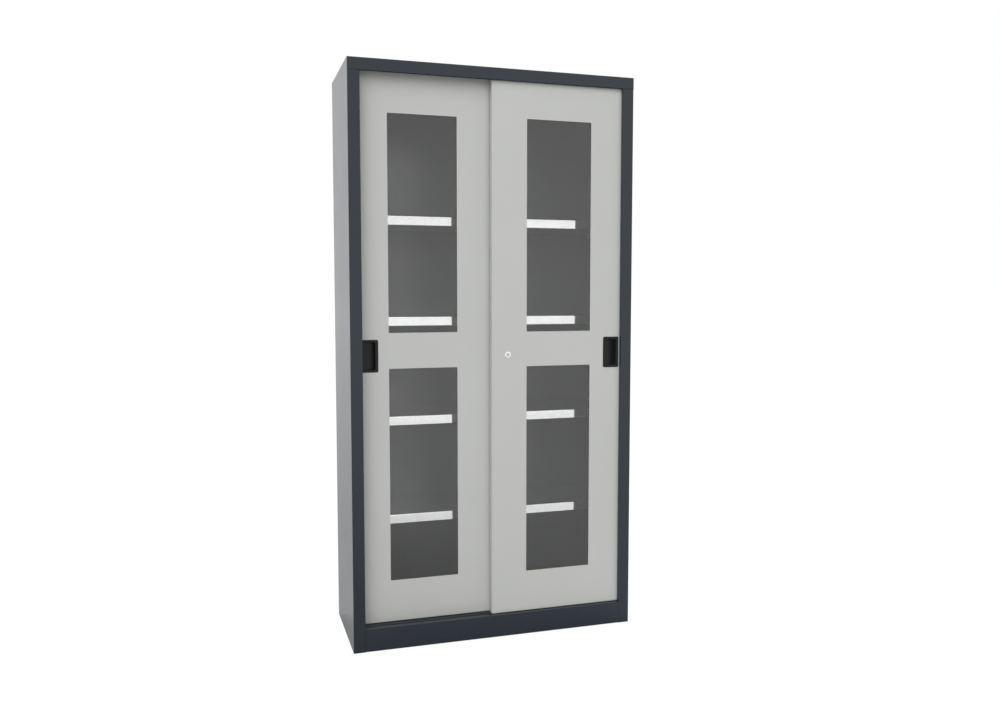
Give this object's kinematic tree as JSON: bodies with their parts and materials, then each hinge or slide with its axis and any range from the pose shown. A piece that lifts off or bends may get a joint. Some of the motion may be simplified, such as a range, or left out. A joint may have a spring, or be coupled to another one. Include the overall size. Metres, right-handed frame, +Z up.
{
  "type": "sliding door cabinet",
  "caption": "Tall folded steel cabinet with sliding doors that pass each other, glazed windows, recessed pulls, a cylinder lock and tray shelves behind.",
  "frame": {"origin": "on the ground, under the middle of the cabinet's box", "axes": "+X to the right seen from the front, +Y from the doors to the back, +Z up"},
  "size_m": [1, 0.4, 1.95],
  "materials": {
    "body_paint": "satin anthracite powder coat",
    "door_paint": "satin light grey powder coat",
    "shelf_zinc": "smooth bright galvanised sheet",
    "gear_zinc": "zinc plated",
    "glass": "clear float glass",
    "handle_black": "satin black moulded plastic",
    "lock_metal": "satin nickel plating",
    "gear_plastic": "natural white nylon"
  },
  "bodies": {
    "carcass": {"side_panel_right": "body_paint", "side_panel_left": "body_paint", "top_panel": "body_paint", "back_panel": "body_paint", "floor_panel": "body_paint", "plinth": "body_paint", "bottom_track": "body_paint", "top_guide_rail": "body_paint", "upright_front_right": "body_paint", "upright_front_left": "body_paint", "upright_rear_right": "body_paint", "upright_rear_left": "body_paint", "shelf_1": "shelf_zinc", "shelf_2": "shelf_zinc", "shelf_3": "shelf_zinc", "shelf_4": "shelf_zinc", "shelf_1_clip_front_right": "shelf_zinc", "shelf_1_clip_front_left": "shelf_zinc", "shelf_1_clip_rear_right": "shelf_zinc", "shelf_1_clip_rear_left": "shelf_zinc", "shelf_2_clip_front_right": "shelf_zinc", "shelf_2_clip_front_left": "shelf_zinc", "shelf_2_clip_rear_right": "shelf_zinc", "shelf_2_clip_rear_left": "shelf_zinc", "shelf_3_clip_front_right": "shelf_zinc", "shelf_3_clip_front_left": "shelf_zinc", "shelf_3_clip_rear_right": "shelf_zinc", "shelf_3_clip_rear_left": "shelf_zinc", "shelf_4_clip_front_right": "shelf_zinc", "shelf_4_clip_front_left": "shelf_zinc", "shelf_4_clip_rear_right": "shelf_zinc", "shelf_4_clip_rear_left": "shelf_zinc"},
    "front_door": {"front_door_panel": "door_paint", "front_door_handle": "handle_black", "front_door_glass_lower": "glass", "front_door_glazing_frame_lower": "door_paint", "front_door_glass_upper": "glass", "front_door_glazing_frame_upper": "door_paint", "front_door_roller_bracket_left": "gear_zinc", "front_door_top_guide_left": "gear_plastic", "front_door_roller_bracket_right": "gear_zinc", "front_door_top_guide_right": "gear_plastic", "lock_housing": "lock_metal"},
    "rear_door": {"rear_door_panel": "door_paint", "rear_door_handle": "handle_black", "rear_door_glass_lower": "glass", "rear_door_glazing_frame_lower": "door_paint", "rear_door_glass_upper": "glass", "rear_door_glazing_frame_upper": "door_paint", "rear_door_roller_bracket_left": "gear_zinc", "rear_door_top_guide_left": "gear_plastic", "rear_door_roller_bracket_right": "gear_zinc", "rear_door_top_guide_right": "gear_plastic", "lock_keeper": "lock_metal"},
    "lock": {"lock_plug": "lock_metal", "lock_cam": "gear_zinc"},
    "front_door_roller_left": {"front_door_roller_left": "gear_plastic"},
    "front_door_roller_right": {"front_door_roller_right": "gear_plastic"},
    "rear_door_roller_left": {"rear_door_roller_left": "gear_plastic"},
    "rear_door_roller_right": {"rear_door_roller_right": "gear_plastic"}
  },
  "joints": [
    {"name": "front_door_slide", "type": "slide", "parent": "carcass", "child": "front_door", "axis": [-1, 0, 0], "range_m": [0, 0.475]},
    {"name": "rear_door_slide", "type": "slide", "parent": "carcass", "child": "rear_door", "axis": [1, 0, 0], "range_m": [0, 0.475]},
    {"name": "lock_turn", "type": "hinge", "parent": "front_door", "child": "lock", "pos_m": [0.0419, -0.185, 0.9866], "axis": [0, 1, 0], "range_deg": [0, 90]},
    {"name": "front_door_roller_left_turn", "type": "hinge", "parent": "front_door", "child": "front_door_roller_left", "pos_m": [0.0305, -0.175, 0.0838], "axis": [0, -1, 0], "range_deg": [0, 1815]},
    {"name": "front_door_roller_right_turn", "type": "hinge", "parent": "front_door", "child": "front_door_roller_right", "pos_m": [0.445, -0.175, 0.0838], "axis": [0, -1, 0], "range_deg": [0, 1815]},
    {"name": "rear_door_roller_left_turn", "type": "hinge", "parent": "rear_door", "child": "rear_door_roller_left", "pos_m": [-0.445, -0.142, 0.0838], "axis": [0, 1, 0], "range_deg": [0, 1815]},
    {"name": "rear_door_roller_right_turn", "type": "hinge", "parent": "rear_door", "child": "rear_door_roller_right", "pos_m": [-0.0305, -0.142, 0.0838], "axis": [0, 1, 0], "range_deg": [0, 1815]}
  ],
  "couplings": [
    {"joint": "front_door_roller_left_turn", "follows": "front_door_slide", "rad_per_m": 66.667},
    {"joint": "front_door_roller_right_turn", "follows": "front_door_slide", "rad_per_m": 66.667},
    {"joint": "rear_door_roller_left_turn", "follows": "rear_door_slide", "rad_per_m": 66.667},
    {"joint": "rear_door_roller_right_turn", "follows": "rear_door_slide", "rad_per_m": 66.667}
  ]
}
